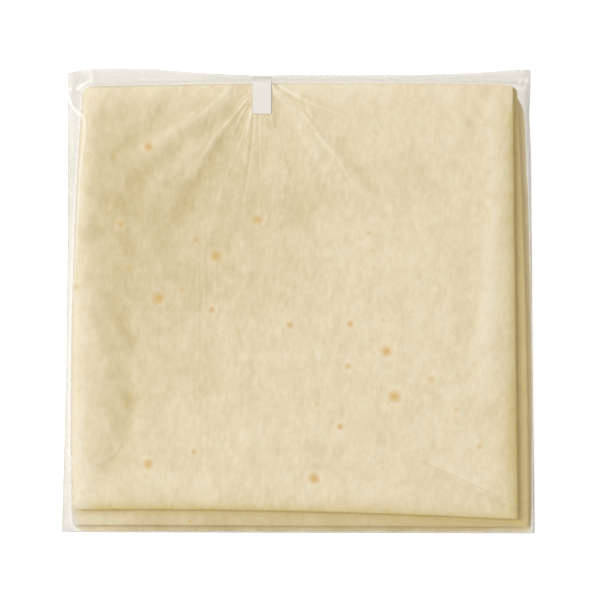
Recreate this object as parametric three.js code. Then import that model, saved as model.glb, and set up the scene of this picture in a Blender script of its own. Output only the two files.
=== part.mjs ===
// A pack of yufka: folded dough sheets lie in three bundles on top of each other, in a clear film
// bag that is shut with a strip of white tape. Millimetres, +Z up. The pack lies flat: its mouth,
// with the tape, points to +Y, and the bundles' open edges step out to +X and -Y.

import * as THREE from 'three';
import { mergeVertices } from 'three/addons/utils/BufferGeometryUtils.js';

// Plan sizes, each as corners in the order front left, front right, back right, back left.
const FILM_CORNERS = [[-150.3, -147.2], [150.3, -147.2], [147.2, 145.6], [-147.4, 147.2]];
const LOW_BUNDLE = [[-141.2, -145.6], [146.0, -145.8], [142.8, 136.2], [-140.8, 135.4]];
const MIDDLE_BUNDLE = [[-141.0, -143.0], [146.1, -143.2], [138.2, 136.2], [-140.6, 135.4]];
const TOP_BUNDLE = [[-140.8, -132.4], [138.4, -139.2], [135.6, 136.6], [-139.6, 135.0]];
const FILM_CORNER_RADIUS = 3;
const BUNDLE_CORNER_RADIUS = 9;

// Heights.
const BUNDLE_HEIGHT = 5.8;
const BUNDLE_COUNT = 3;
const STACK_HEIGHT = BUNDLE_COUNT * BUNDLE_HEIGHT;
const SEAM_HEIGHT = 4;
const SEAM_THICKNESS = 0.8;
const CROWN = 0.7;

// The tape draws the bag's back edge in, and the edge runs out again to both corners.
const TAPE_X = -23.3;
const TAPE_WIDTH = 11.8;
const TAPE_THICKNESS = 0.4;
const TAPE_GAP = 0.35;
const TAPE_TOP_END = 117.8;
const TAPE_BACK_END = 131;
const EDGE_PULL = 5.4;
const PULL_LEFT = { reach: 62, power: 1.5 };
const PULL_RIGHT = { reach: 165, power: 4 };

// Broad swells of the top sheet, as soft bands from one end to the other.
const SWELLS = [
  { from: [-124, 112], to: [-126, 26], width: 13, height: -0.8 },
  { from: [-44, 124], to: [-84, 58], width: 10, height: -0.6 },
  { from: [-36, 126], to: [-100, 72], width: 11, height: 0.6 },
  { from: [-126, -8], to: [-110, -60], width: 11, height: -0.7 },
  { from: [-110, -60], to: [-124, -106], width: 11, height: -0.7 },
];

const POINTS_PER_SIDE = 20;
const POINTS_PER_CORNER = 6;

// How far the tape draws the bag's back edge in at a place x along it.
function edgePull(x) {
  const side = x < TAPE_X ? PULL_LEFT : PULL_RIGHT;
  const share = Math.min(Math.abs(x - TAPE_X) / side.reach, 1);
  return EDGE_PULL * (1 - share ** side.power);
}

// A soft band: a bell across the line from one end to the other, fading past both ends.
function bandHeight(band, x, y) {
  const start = new THREE.Vector2(...band.from);
  const run = new THREE.Vector2(...band.to).sub(start);
  const offset = new THREE.Vector2(x, y).sub(start);
  const along = THREE.MathUtils.clamp(offset.dot(run) / run.lengthSq(), 0, 1);
  const distance = offset.sub(run.multiplyScalar(along)).length();
  return band.height * Math.exp(-((distance / band.width) ** 2));
}

// Height of the top sheet: a low crown over the whole stack, and the swells.
function topHeight(x, y) {
  const acrossX = 1 - (x / TOP_BUNDLE[1][0]) ** 2;
  const acrossY = 1 - (y / TOP_BUNDLE[1][1]) ** 2;
  const crown = CROWN * Math.max(acrossX, 0) * Math.max(acrossY, 0);
  const swells = SWELLS.reduce((sum, band) => sum + bandHeight(band, x, y), 0);
  return STACK_HEIGHT + crown + swells;
}

// Four corners moved towards the middle by an inset, or outwards by a negative one.
function insetCorners(corners, inset) {
  return corners.map(([x, y]) => new THREE.Vector2(x - Math.sign(x) * inset, y - Math.sign(y) * inset));
}

// A closed outline through four corners, each rounded by a quadratic arc with the corner as its
// control point, and straight stretches of equal steps between the arcs.
function roundedOutline(corners, radius) {
  const arcs = corners.map((corner, i) => {
    const towards = (other) => corner.clone().add(other.clone().sub(corner).setLength(radius));
    const before = corners[(i + corners.length - 1) % corners.length];
    const after = corners[(i + 1) % corners.length];
    return new THREE.QuadraticBezierCurve(towards(before), corner, towards(after));
  });
  return arcs.flatMap((arc, i) => {
    const side = new THREE.LineCurve(arc.v2, arcs[(i + 1) % arcs.length].v0);
    return [...arc.getPoints(POINTS_PER_CORNER).slice(0, -1), ...side.getPoints(POINTS_PER_SIDE).slice(0, -1)];
  });
}

// One ring of the bag's surface round a bundle, at an even height.
function bundleRing(corners, inset, height) {
  const radius = Math.max(BUNDLE_CORNER_RADIUS - inset / 2, 2);
  const outline = roundedOutline(insetCorners(corners, inset), radius);
  return outline.map((point) => new THREE.Vector3(point.x, point.y, height));
}

// The same over the top sheet, where a drop below its crowned height rounds the edge off.
function topRing(inset, drop) {
  const ring = bundleRing(TOP_BUNDLE, inset, 0);
  return ring.map(({ x, y }) => new THREE.Vector3(x, y, topHeight(x, y) - drop));
}

// The free edge of the film, drawn in along the back by the tape.
function filmEdge(height) {
  const outline = roundedOutline(insetCorners(FILM_CORNERS, 0), FILM_CORNER_RADIUS);
  const backEdge = FILM_CORNERS[2][1] - FILM_CORNER_RADIUS;
  return outline.map(({ x, y }) => new THREE.Vector3(x, y - (y > backEdge ? edgePull(x) : 0), height));
}

// The bag's surface as rings, from its flat underside out to the seam and over the top.
const TOP_EDGE_ROUNDING = [[0, 3.4], [0.6, 1.7], [2.4, 0.6], [6, 0.15]];
const TOP_FACE_INSETS = [12, 18, 26, 38, 52, 68, 86, 106, 124];
const bagRings = [
  bundleRing(LOW_BUNDLE, 10, 0),
  bundleRing(LOW_BUNDLE, 6, 1),
  bundleRing(LOW_BUNDLE, 0, 2.5),
  filmEdge(SEAM_HEIGHT - SEAM_THICKNESS / 2),
  filmEdge(SEAM_HEIGHT + SEAM_THICKNESS / 2),
  bundleRing(LOW_BUNDLE, 0, BUNDLE_HEIGHT),
  bundleRing(MIDDLE_BUNDLE, -0.3, BUNDLE_HEIGHT + 1.2),
  bundleRing(MIDDLE_BUNDLE, 0, 2 * BUNDLE_HEIGHT - 0.6),
  bundleRing(TOP_BUNDLE, -0.6, 2 * BUNDLE_HEIGHT + 0.6),
  ...TOP_EDGE_ROUNDING.map(([inset, drop]) => topRing(inset, drop)),
  ...TOP_FACE_INSETS.map((inset) => topRing(inset, 0)),
];

// A closed body from rings of equal counts: bands between neighbours, and a fan to a middle
// point at each end. The rings run anticlockwise seen from above, from the bottom to the top.
function bodyFromRings(rings, bottomMiddle, topMiddle) {
  const count = rings[0].length;
  const points = [bottomMiddle, ...rings.flat(), topMiddle];
  const at = (ring, i) => 1 + ring * count + (i % count);
  const faces = [];
  for (let i = 0; i < count; i += 1) {
    faces.push(0, at(0, i + 1), at(0, i));
    faces.push(at(rings.length - 1, i), at(rings.length - 1, i + 1), points.length - 1);
    for (let ring = 0; ring + 1 < rings.length; ring += 1) {
      faces.push(at(ring, i), at(ring, i + 1), at(ring + 1, i + 1));
      faces.push(at(ring, i), at(ring + 1, i + 1), at(ring + 1, i));
    }
  }
  const geometry = new THREE.BufferGeometry().setFromPoints(points);
  geometry.setIndex(faces);
  geometry.computeVertexNormals();
  return geometry;
}

// Where a ring's back side crosses the tape's middle line, as a point across the pack and up.
function backCrossing(ring) {
  const count = ring.length;
  const start = ring.findIndex((point, i) => point.y > 0 && point.x >= TAPE_X && ring[(i + 1) % count].x < TAPE_X);
  const end = ring[(start + 1) % count];
  const share = (ring[start].x - TAPE_X) / (ring[start].x - end.x);
  return new THREE.Vector2(
    THREE.MathUtils.lerp(ring[start].y, end.y, share),
    THREE.MathUtils.lerp(ring[start].z, end.z, share),
  );
}

// A path cut off where it first passes a line y = end, on its way towards smaller y.
function cutPath(path, end) {
  const last = path.findIndex((point) => point.x < end);
  const [inside, outside] = [path[last - 1], path[last]];
  const share = (inside.x - end) / (inside.x - outside.x);
  return [...path.slice(0, last), inside.clone().lerp(outside, share)];
}

// A path moved sideways, to its left, by a distance. A bend keeps the distance on both its sides.
function offsetPath(path, distance) {
  return path.map((point, i) => {
    const before = path[Math.max(i - 1, 0)];
    const after = path[Math.min(i + 1, path.length - 1)];
    const inward = point.clone().sub(i > 0 ? before : point.clone().multiplyScalar(2).sub(after)).normalize();
    const onward = (i + 1 < path.length ? after : point.clone().multiplyScalar(2).sub(before)).clone().sub(point);
    const mitre = inward.add(onward.normalize());
    const stretch = 2 / mitre.lengthSq();
    return new THREE.Vector2(point.x - mitre.y * distance * stretch, point.y + mitre.x * distance * stretch);
  });
}

// The tape: a strip that starts on the top sheet, runs over the bag's drawn-in back edge and ends
// under it. Its section across the pack is two offsets of the bag's own section.
function tapeGeometry() {
  const edge = bagRings.findIndex((ring) => ring[0].z > SEAM_HEIGHT);
  const facesFrom = bagRings.length - TOP_FACE_INSETS.length;
  const passed = TOP_FACE_INSETS.filter((inset) => TOP_BUNDLE[2][1] - inset > TAPE_TOP_END).length + 1;
  const crossings = bagRings.slice(0, facesFrom + passed).map(backCrossing);
  const over = cutPath(crossings.slice(edge), TAPE_TOP_END);
  const under = cutPath(crossings.slice(0, edge).reverse(), TAPE_BACK_END);
  const path = [...over.reverse(), ...under];
  const outer = offsetPath(path, TAPE_GAP + TAPE_THICKNESS);
  const section = new THREE.Shape([...offsetPath(path, TAPE_GAP), ...outer.reverse()]);
  const geometry = new THREE.ExtrudeGeometry(section, { depth: TAPE_WIDTH, bevelEnabled: false });
  geometry.deleteAttribute('normal');
  geometry.deleteAttribute('uv');
  const strip = mergeVertices(geometry);
  // The section's own axes become the pack's Y and Z, and its depth runs along X.
  strip.applyMatrix4(new THREE.Matrix4().makeBasis(
    new THREE.Vector3(0, 1, 0),
    new THREE.Vector3(0, 0, 1),
    new THREE.Vector3(1, 0, 0),
  ));
  strip.computeVertexNormals();
  return strip;
}

const bag = new THREE.Mesh(
  bodyFromRings(bagRings, new THREE.Vector3(0, 0, 0), new THREE.Vector3(0, 0, topHeight(0, 0))),
  new THREE.MeshStandardMaterial({ color: 0xe3d5b1, roughness: 0.45, metalness: 0 }),
);
bag.name = 'bag';

const tape = new THREE.Mesh(
  tapeGeometry(),
  new THREE.MeshStandardMaterial({ color: 0xf0ebe0, roughness: 0.5, metalness: 0 }),
);
tape.name = 'tape';
tape.position.x = TAPE_X - TAPE_WIDTH / 2;

const pack = new THREE.Group();
pack.add(bag, tape);

export default pack;
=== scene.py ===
"""The looks of a pack of yufka: three bundles of folded dough sheets in a clear film bag, taped shut.

Lengths are in millimetres, as on a drawing, and MM turns them into the frame's metres. The pack
lies flat. Seen from above, +X is to the right and +Y towards the taped mouth of the bag.
"""
import math

import bpy
import numpy as np
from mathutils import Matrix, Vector


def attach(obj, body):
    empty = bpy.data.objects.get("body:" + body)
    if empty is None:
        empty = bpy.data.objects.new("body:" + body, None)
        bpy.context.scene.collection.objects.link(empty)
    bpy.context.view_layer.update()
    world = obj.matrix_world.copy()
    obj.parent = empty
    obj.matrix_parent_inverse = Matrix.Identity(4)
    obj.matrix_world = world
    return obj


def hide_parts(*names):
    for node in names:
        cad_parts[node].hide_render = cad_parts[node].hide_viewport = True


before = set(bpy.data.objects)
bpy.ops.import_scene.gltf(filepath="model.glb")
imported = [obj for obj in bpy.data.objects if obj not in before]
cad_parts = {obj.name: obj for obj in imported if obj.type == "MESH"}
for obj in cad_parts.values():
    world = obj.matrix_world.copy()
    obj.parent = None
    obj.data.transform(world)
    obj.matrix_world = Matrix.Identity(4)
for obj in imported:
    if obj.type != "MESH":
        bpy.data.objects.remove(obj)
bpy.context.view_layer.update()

MM = 0.001


class Outline:
    """A plan with four corners, in the order front left, front right, back right, back left. Its
    corners are rounded, and its front, right, back and left sides bow out by 4s(1-s) of their
    bows, with s the share of the side's run."""

    def __init__(self, corners, radii=(), bows=(0, 0, 0, 0)):
        self.corners = corners
        self.radii = radii
        self.bows = bows

    def inset(self, front, right, back, left):
        """The same plan with each side moved inwards."""
        moves = ((left, front), (-right, front), (-right, -back), (left, -back))
        corners = [(x + dx, y + dy) for (x, y), (dx, dy) in zip(self.corners, moves)]
        return Outline(corners, self.radii, self.bows)

    def sides(self, x, y):
        """Distances inside the front, right, back and left sides."""
        found = []
        for start, end in zip(self.corners, self.corners[1:] + self.corners[:1]):
            run = np.subtract(end, start)
            run = run / np.hypot(*run)
            found.append((x - start[0]) * -run[1] + (y - start[1]) * run[0])
        front, right, back, left = found
        across = np.clip(left / (left + right), 0, 1)
        along = np.clip(front / (front + back), 0, 1)
        bulges = (4 * across * (1 - across), 4 * along * (1 - along)) * 2
        return [side + bow * bulge for side, bow, bulge in zip(found, self.bows, bulges)]

    def inside(self, x, y, softness=1.2):
        """Distance inside the nearest side, as a smooth least: -k log of the sum of exp(-d/k)."""
        sides = self.sides(x, y)
        nearest = np.minimum.reduce(sides)
        return nearest - softness * np.log(sum(np.exp((nearest - side) / softness) for side in sides))

    def place(self, u, v):
        """Places for shares u and v of the plan: bilinear between its corners, once its square
        corner zones have become quarter discs by a' = a sqrt(1 - b²/2) and b' = b sqrt(1 - a²/2)."""
        wide = self.corners[1][0] - self.corners[0][0]
        deep = self.corners[3][1] - self.corners[0][1]
        for radius, (at_u, at_v) in zip(self.radii, ((0, 0), (1, 0), (1, 1), (0, 1))):
            a = 1 - np.abs(u - at_u) * wide / radius
            b = 1 - np.abs(v - at_v) * deep / radius
            zone = (a > 0) & (b > 0)
            new_a = a * np.sqrt(np.maximum(1 - b * b / 2, 0))
            new_b = b * np.sqrt(np.maximum(1 - a * a / 2, 0))
            u = np.where(zone, at_u + (1 - 2 * at_u) * radius * (1 - new_a) / wide, u)
            v = np.where(zone, at_v + (1 - 2 * at_v) * radius * (1 - new_b) / deep, v)
        front_left, front_right, back_right, back_left = self.corners
        x, y = (
            (1 - v) * ((1 - u) * front_left[i] + u * front_right[i])
            + v * ((1 - u) * back_left[i] + u * back_right[i])
            for i in (0, 1)
        )
        front, right, back, left = self.bows
        x = x + 4 * v * (1 - v) * (right * u**3 - left * (1 - u) ** 3)
        y = y + 4 * u * (1 - u) * (back * v**3 - front * (1 - v) ** 3)
        return x, y


# The plans: the bag's own seam, and the three bundles from the bottom to the top.
FILM = Outline(
    [(-150.9, -147.8), (150.2, -148.6), (147.7, 146.6), (-147.2, 147.5)],
    bows=(0, -0.5, 0, -1.5),
)
LOW = Outline(
    [(-144.3, -147.2), (147.9, -147.6), (142.6, 136.5), (-137.2, 135.3)],
    radii=(9, 3, 20, 7),
    bows=(0, 2.4, 1.9, 3.4),
)
MIDDLE = Outline(
    [(-144.2, -142.8), (146.1, -144.2), (138.5, 135.4), (-137.2, 135.3)],
    radii=(4, 2, 4, 7),
    bows=(0, 1.8, 1.8, 3.3),
)
TOP = Outline(
    [(-143.4, -133.0), (138.9, -139.2), (135.6, 136.4), (-136.6, 134.7)],
    radii=(4, 1.2, 2.5, 5),
    bows=(-2.2, 0, 1.6, 3.0),
)

BUNDLE_HEIGHT = 5.8
STACK_HEIGHT = 3 * BUNDLE_HEIGHT
LEAVES = 8
SEAM_HEIGHT = 4.0
FILM_GAP = 0.45

# The top sheet's low crown, and how far from the middle it ends along x and y.
CROWN = 0.7
CROWN_REACH = (139, 137)

# How far the top sheet bends down at its front, right, back and left, and how far in that reaches.
# The bend at the right loses a share between two places along y.
EDGE_FALLS = [(2.2, 3.1), (2.2, 3.4), (1.0, 1.4), (1.7, 3.2)]
RIGHT_FALL_LOSS = 0.7
RIGHT_FALL_ENDS = (104, 126)

# The strip of tape: its middle, its size, its lift off the film, its front end, where it begins to
# bend, the bag's edge that it folds over, its end under the bag, and where it has left the dough.
TAPE_X = -23.3
TAPE_WIDTH = 11.8
TAPE_THICKNESS = 0.15
TAPE_LIFT = 0.15
TAPE_FRONT = 117.8
TAPE_BEND = 134.0
TAPE_EDGE = 142.5
TAPE_UNDER_END = 131.0
TAPE_FREE = (136.5, 138.5)

# The tape draws the bag's back edge in: how far, the reach and power of the curve to its left and
# right, and the depth and half width of the notch under it.
EDGE_PULL = 3.95
PULL_LEFT = (70, 2.1)
PULL_RIGHT = (162, 4.4)
NOTCH = (0.9, 7.5)

# Bands where the top sheet sinks against the film and is damper, or rises and stays paler, with painted
# shade in the sunken bands and painted highlights on the risen ones; one beside the tape is a painted
# shadow of it: a band's half width, its strength, which is below 0 where it rises, and the points on its run.
BANDS = [
    (4.5, 0.7, (-36, 134), (-46, 119), (-56, 110)),
    (5, 0.6, (-60, 106), (-76, 99), (-90, 86), (-100, 79)),
    (8, 0.45, (-101, 78), (-110, 66), (-118, 58), (-126, 46)),
    (5.5, 0.9, (-40, 116), (-48, 103), (-54, 90), (-63, 77), (-72, 64), (-77, 52)),
    (8, 0.65, (-120, 118), (-126, 98), (-120, 84), (-122, 66)),
    (5, 0.6, (-82, 127), (-90, 113), (-104, 104), (-116, 92)), (6, 0.4, (-88, 54), (-86, 42)),
    (8, 0.45, (-104, 60), (-110, 40)), (3.5, 0.35, (-84, 34), (-98, 23)),
    (7, 0.45, (-118, 24), (-104, 12)), (5, 1, (-120, 2), (-112, -18), (-106, -28)),
    (6, 0.9, (-126, -10), (-118, -30), (-112, -48), (-108, -63)),
    (4, 0.7, (-104, -64), (-108, -80), (-112, -93), (-124, -106)),
    (5, 0.5, (-128, -66), (-116, -72), (-116, -86)), (14, 0.1, (-80, 20), (-78, -30), (-84, -52)),
    (10, 0.4, (-4, 98), (-2, 76), (-2, 58), (4, 54)), (8, 0.35, (-8, 50), (14, 64)),
    (4.5, 0.5, (26, 99), (36, 86), (48, 69)), (6, 0.4, (76, 92), (80, 80), (86, 64)),
    (5, 0.25, (66, 78), (70, 56)), (7, 0.3, (106, 48), (108, 14), (102, -26)),
    (4, 0.25, (118, 130), (110, 110)), (3.5, 0.35, (90, -110), (116, -121), (132, -130)),
    (4, 0.4, (127, -130), (129, -133)), (3, 0.4, (86, -60), (90, -66)),
    (5, 0.3, (-10, -92), (12, -94)), (2, 0.45, (-15.4, 128), (-14.4, 117), (-14.6, 110)),
    (5.5, 0.9, (-109, -62), (-112, -72), (-113, -80)), (5, 0.4, (-102, -27), (-99, -38)),
    (5, 0.6, (-121, -50), (-119, -70)), (5, 0.35, (-108, 100), (-98, 94)),
    (4, 0.35, (-88, -66), (-86, -84)), (4, 0.5, (131, -28), (131, -42)),
    (5, -0.35, (-52, -60), (-52, -74)), (5, 0.25, (-115, -34), (-112, -44)),
    (6, 0.45, (-128, -84), (-122, -92)), (5, 0.4, (-121, -98), (-116, -106)),
    (5, 0.4, (-111, -8), (-108, -20)), (6, 0.4, (-131, 36), (-124, 30)),
    (5, 0.4, (-105, 34), (-98, 24)), (5, 0.35, (-122, 14), (-118, 8)),
    (5, 0.4, (-50, 42), (-44, 38)), (5, 0.4, (-22, 62), (-20, 50)),
    (5, 0.45, (-36, 106), (-30, 98)), (5, 0.35, (-48, 94), (-46, 84)),
    (5, 0.35, (22, 94), (30, 84)), (5, 0.4, (119, 64), (119, 52)), (5, 0.35, (52, 58), (60, 54)),
    (6, 0.3, (12, 38), (20, 32)), (5, 0.35, (-38, -22), (-34, -30)),
    (5, 0.35, (10, -113), (14, -118)), (6, -0.45, (-99, 10), (-92, 6)),
    (6, -0.45, (-90, 130), (-82, 126)), (7, -0.3, (-74, -6), (-66, -12)),
    (6, -0.35, (-130, -4), (-130, -24)), (6, -0.3, (12, 130), (24, 126)),
    (6, -0.4, (100, 127), (108, 122)), (7, 0.5, (-134, 42), (-124, 44), (-108, 32)),
    (5, 0.35, (-112, 0), (-108, -12)), (5, 0.5, (-48, 99), (-38, 89)),
    (5, 0.45, (-62, 38), (-50, 31)), (4, 0.5, (-28, 66), (-27, 54)), (5, 0.3, (-24, 92), (-24, 78)),
    (6, 0.35, (46, 122), (58, 112)), (6, 0.3, (104, 100), (100, 84)),
    (6, 0.35, (-74, -80), (-64, -86)), (5, 0.3, (110, -98), (114, -110)),
    (7, -0.8, (-44, -44), (-42, -60)), (4, -0.55, (-34, -36), (-10, -36), (12, -35)),
    (5, -0.4, (-36, 34), (-32, 20)), (7, -0.4, (50, 4), (68, 10)),
    (6, -0.5, (-126, 128), (-118, 124)), (7, -0.35, (62, -70), (72, -86)),
    (7, -0.35, (82, -40), (92, -48)), (4, -0.65, (-6, 120), (4, 108), (12, 91)),
    (3.5, -0.55, (-36, 119), (-40, 114), (-50, 102), (-60, 89), (-68, 79)),
    (5, -0.3, (-98, 78), (-90, 72)), (6, -0.35, (70, 24), (86, 20)),
    (6, -0.4, (96, -60), (116, -56)), (7, -0.35, (-28, -84), (-20, -94)),
    (6, -0.3, (-96, -113), (-20, -117), (70, -121)),
    (5, -0.45, (123, 128), (122, 60), (121, 0), (118, -45)),
    (4, -0.5, (-44, 128), (-56, 120), (-72, 114), (-86, 103), (-98, 95)),
    (5, -0.55, (-46, 112), (-54, 104), (-66, 97), (-76, 83), (-92, 75), (-96, 62)),
    (4, -0.35, (-50, 66), (-57, 50), (-68, 40), (-71, 30)), (5, -0.3, (-128, 131), (100, 132)),
    (5, -0.4, (128, 92), (124, 62), (122, 20), (119, -20), (112, -34)),
    (2.5, -0.35, (0, 122), (20, 98), (40, 68), (60, 56)),
    (5, -0.5, (-134, 120), (-137, 60), (-137, 0), (-138, -60), (-138, -120)),
    (6, -0.3, (-136, -104), (-133, -126)), (2.5, -0.3, (88, -104), (110, -114), (124, -122)),
]
BAND_DEPTH = 0.45
# How strongly the bands darken and pale the dough's colour: damper tone with painted shade, and painted
# highlights.
BAND_DAMP_AND_SHADING = 0.88

# The damp left half of the top sheet: its middle, its half width and half depth, and its strength.
DAMP_SIDE = (-85, 50, 75, 95)
DAMP_SIDE_STRENGTH = 1.1

# Creases of the film: a crease's half width, how high it stands and how much painted highlight whitens
# it, how deep the hollow beside it is and how much painted shade darkens that (to the left of its run, or
# to the right below 0), its fading, and the points on its run. Where a crease has no painted highlight, the
# hollow runs through the points themselves.
CREASES = [
    # Left of the tape
    (0.5, 0.65, 0, 0.6, (-30, 131.6), (-32.7, 129.9), (-35.1, 127.6), (-38.3, 123.8),
     (-40.1, 120.8), (-42.2, 116.5)),
    (0.6, 0, 0.9, 0.8, (-30, 130.4), (-32.7, 128.3), (-35.5, 125.5), (-38.3, 122)),
    (0.65, 0.9, 0, 0.7, (-32, 128), (-35.2, 124.3), (-38.7, 119.7), (-41.9, 116), (-44.5, 113),
     (-49.2, 107.9), (-53.9, 102.8), (-57, 97.5), (-61.6, 90.1)),
    (1.3, 0, 0.8, 0.4, (-36, 120.5), (-40.5, 113.5), (-45, 107.8), (-50, 101.6), (-54, 96),
     (-56.5, 89)),
    (0.5, 0.5, 0, 0.6, (-30.4, 126.8), (-32, 123.6), (-34.4, 120.1), (-36.8, 116.2),
     (-38.7, 112.3), (-40.3, 107.4), (-41.9, 103.1), (-43.6, 98.6)),
    (0.6, 0, 0.8, 0.5, (-30.9, 124.3), (-32.8, 120.1), (-35, 116.5), (-36.8, 112.7), (-39, 107),
     (-42, 100.6)),
    (0.8, 0.95, 0, 0.6, (-29.8, 120.8), (-30.4, 116.9), (-31.4, 113.3), (-32.1, 109.9),
     (-32.7, 106.3), (-33.9, 102.1)),
    (0.5, 0.5, -0.35, 0.5, (-33.1, 113.4), (-33.9, 109.8), (-34.8, 106), (-36.7, 100.6),
     (-38.4, 96), (-40, 92), (-42, 87), (-44, 83), (-45.3, 79), (-46.6, 74.6), (-49.5, 68),
     (-53, 60)),
    (0.5, 0.35, 0, 0.6, (-38.6, 99), (-41, 92.6), (-43.4, 86.6), (-45.6, 81), (-47.4, 76)),
    # Under the tape
    (0.6, 0, 0.85, 0.45, (-28.9, 116.8), (-29.2, 110), (-30.4, 100), (-31.2, 91), (-32.6, 80),
     (-34.4, 70), (-36.4, 59)), (0.5, 0.4, 0, 0.6, (-33.9, 98.5), (-34.1, 90), (-33.9, 80)),
    (0.5, 0.55, 0, 0.6, (-27.7, 117), (-28, 108), (-28.6, 100), (-29.6, 92.6), (-30.8, 84.4),
     (-32, 76), (-33.1, 67), (-34, 62)),
    (0.45, 0, 0.5, 0.6, (-25.6, 117), (-25.7, 108), (-25.8, 100)),
    (0.5, 0.5, -0.5, 0.65, (-24.5, 116), (-24.4, 99), (-24.2, 90), (-23.7, 80), (-23.4, 72)),
    (0.8, 0, 0.45, 0.5, (-19.5, 103), (-20.4, 97), (-19.6, 92)),
    (0.5, 0.5, 0.35, 0.5, (-17.2, 116.8), (-16.6, 112), (-14.7, 107.4), (-12.3, 101), (-10.8, 95)),
    (0.5, 0.45, 0.4, 0.6, (-8.6, 87), (-7.4, 82.6), (-5.7, 77.6), (-4.2, 72), (-2, 64.4)),
    # Right of the tape
    (0.6, 0.85, 0, 0.5, (-16.3, 135.2), (-15.4, 132), (-13.3, 129.2), (-10.3, 126.2),
     (-7.2, 123.6), (-4.2, 121), (-1.6, 119.2)),
    (0.45, 0, 0.55, 0.3, (-13.9, 130.6), (-10.8, 127.6), (-7.4, 124.6), (-4.1, 121.7)),
    (0.45, 0.65, 0, 0.4, (-14, 132), (-10.6, 128.9), (-7.2, 126.3), (-4, 123.3), (-1.6, 121)),
    (0.75, 0, 0.95, 0.6, (-15.4, 136.6), (-14.3, 135.4), (-12.4, 133.6), (-10.3, 131.8),
     (-7.3, 130), (-3.6, 127.8), (0.6, 125), (4, 122.8)),
    (0.9, 0.85, 0, 0.1, (-11.2, 135.2), (-9, 134), (-6.6, 132.2), (-4.1, 130.7), (-1.6, 129.3),
     (1.3, 127.7)),
    (0.55, 0.5, -0.4, 0.6, (1.6, 127.6), (6, 124.6), (11, 122.4), (20, 119.9), (25, 117.4),
     (30, 114.4), (36, 111)), (0.7, 0, 0.5, 0.5, (2, 129.6), (8, 128), (14, 124.6), (20, 121.4)),
    (0.55, 0.4, 0, 0.5, (-2, 120.4), (2.4, 118.2), (6, 113.4), (9.4, 109)),
    (0.55, 0, 0.8, 0.35, (3.2, 120.4), (5.2, 117.8), (8, 113.6), (10.8, 109.6), (14.4, 105.8),
     (17.6, 102.4)), (0.5, 0.4, 0, 0.6, (5.4, 120.2), (8, 117), (11.6, 113)),
    (0.6, 0.6, 0.3, 0.6, (10.4, 106.2), (14.6, 101.2), (18.4, 97.3), (23, 92.2), (26.8, 86.3),
     (30, 81), (33.8, 74.7), (36, 70)),
    # Folds that fade out towards the left
    (1, 0.5, 0.25, 0.7, (-42.6, 134.9), (-47.8, 129.7), (-51.4, 126.6), (-54.6, 123.5),
     (-58.1, 120.6), (-61.6, 117.5), (-66, 114.2), (-74, 108.5)),
    (0.9, 0.3, 0.2, 0.9, (-56, 136), (-64, 133), (-72, 127), (-80, 122)),
    (1.4, 0.25, 0, 0.8, (-66, 118), (-75, 112), (-84, 105), (-92, 99)),
    (0.6, 0.2, 0.2, 0.6, (-64, 27.8), (-64, -78.9)),
    (0.6, 0.2, 0.2, 0.6, (-59.5, 24), (-60.2, -76.3)),
    # The front corners and the right
    (1.6, 0.25, 0.3, 0.6, (136, -129.6), (126, -123.9), (110, -116.6), (85, -105.8)),
    (0.8, 0.3, 0.1, 0.4, (110, -55), (120, -35), (134.1, -25.5)),
    (0.8, 0.4, 0.1, 0.4, (116, -82), (126.2, -73.4), (137, -64.3)),
    (0.9, 0.4, 0.3, 0.3, (-112.5, -90), (-116, -96), (-123, -101), (-130, -104)),
    (0.8, 0.35, 0.2, 0.3, (-121, -81), (-118, -88), (-124, -93)),
    (0.9, 0.4, 0.2, 0.2, (-141, -86), (-137, -92), (-138, -99), (-142.5, -104)),
    (0.9, 0.4, 0.3, 0.2, (-140.8, -125.2), (-134, -122), (-128, -125.2), (-126.2, -130)),
    (0.7, 0.4, 0, 0, (139.6, -135.9), (144.9, -131.6)),
    # The empty margins and the corners of the bag
    (0.7, 0.9, 0, 0.6, (-147, 131), (-144.8, 124), (-140.5, 118.5), (-135.6, 116), (-135.2, 108),
     (-136.4, 96), (-138, 84), (-139, 70), (-140, 44), (-141.8, 20), (-142.8, 0)),
    (0.9, 0.7, 0, 0.3, (-133, 146), (-131.6, 138.5)),
    (1.1, 0.7, 0, 0.3, (-140.4, 134.3), (-132.5, 139.8)),
    (0.8, 0.9, 0, 0, (-146, 133.5), (-145, 134.2)), (0.9, 0.6, 0, 0.3, (145.2, 140), (143, 132.5)),
    (0.8, 0.3, 0, 0.3, (141.8, 141), (138.2, 134.2)),
    (0.6, 0.8, 0, 0, (143.9, -143.4), (147.6, -146)), (1.8, 0.35, 0, 0, (124, -146), (147, -144.6)),
    (0.6, 0.7, 0, 0, (144, -146.2), (147.8, -143.6)),
    (0.7, 0.5, 0, 0.5, (-146.2, -96), (-142.5, -102.5), (-144.5, -108)),
]
CREASE_HEIGHT = 0.4
HOLLOW_DEPTH = 0.5
HOLLOW_ASIDE = 1.9

# The edge of a leaf under the top sheet, which shows as a fine line of painted shade from one place to
# another.
FOLD_LINE = ((62.0, -95.6), (136.4, -128.4))
FOLD_LINE_WIDTH = 0.45
FOLD_LINE_SHADE = 0.4

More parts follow.
